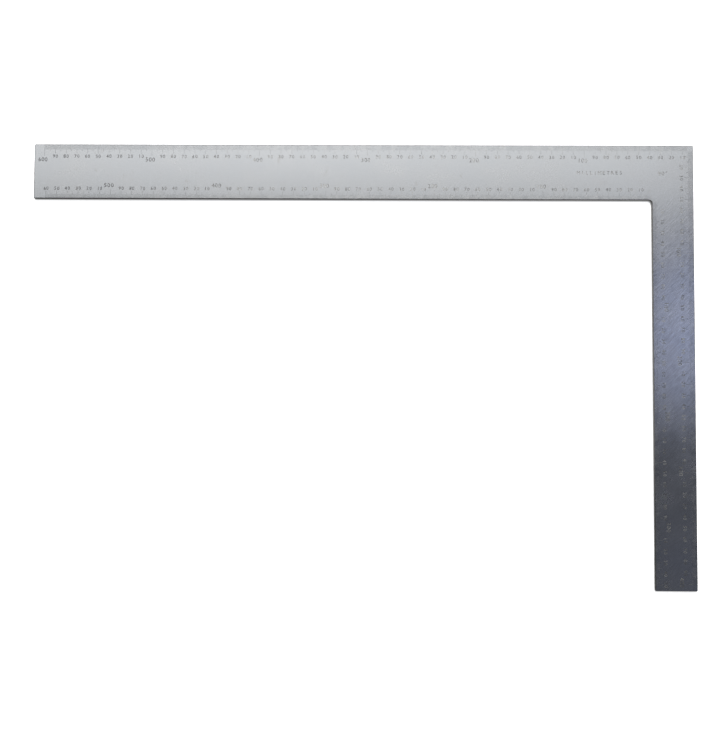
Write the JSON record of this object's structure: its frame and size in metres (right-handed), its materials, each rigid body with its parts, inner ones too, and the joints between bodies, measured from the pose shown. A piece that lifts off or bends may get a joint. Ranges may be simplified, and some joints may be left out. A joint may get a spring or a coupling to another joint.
{
  "type": "steel square",
  "caption": "Flat L-shaped steel square with a wide arm and a narrow arm, graduated along its edges, for marking out and checking right angles.",
  "frame": {"origin": "under the middle of the plate's box, on the back face that it lies on", "axes": "+X along the body (the long wide arm) towards the heel, +Y across the body towards its outer edge, +Z out of the front face"},
  "size_m": [0.6096, 0.4064, 0.0025],
  "materials": {
    "steel": "satin, with matt dark etched marks"
  },
  "bodies": {
    "root": {"square_plate": "steel"}
  },
  "joints": []
}
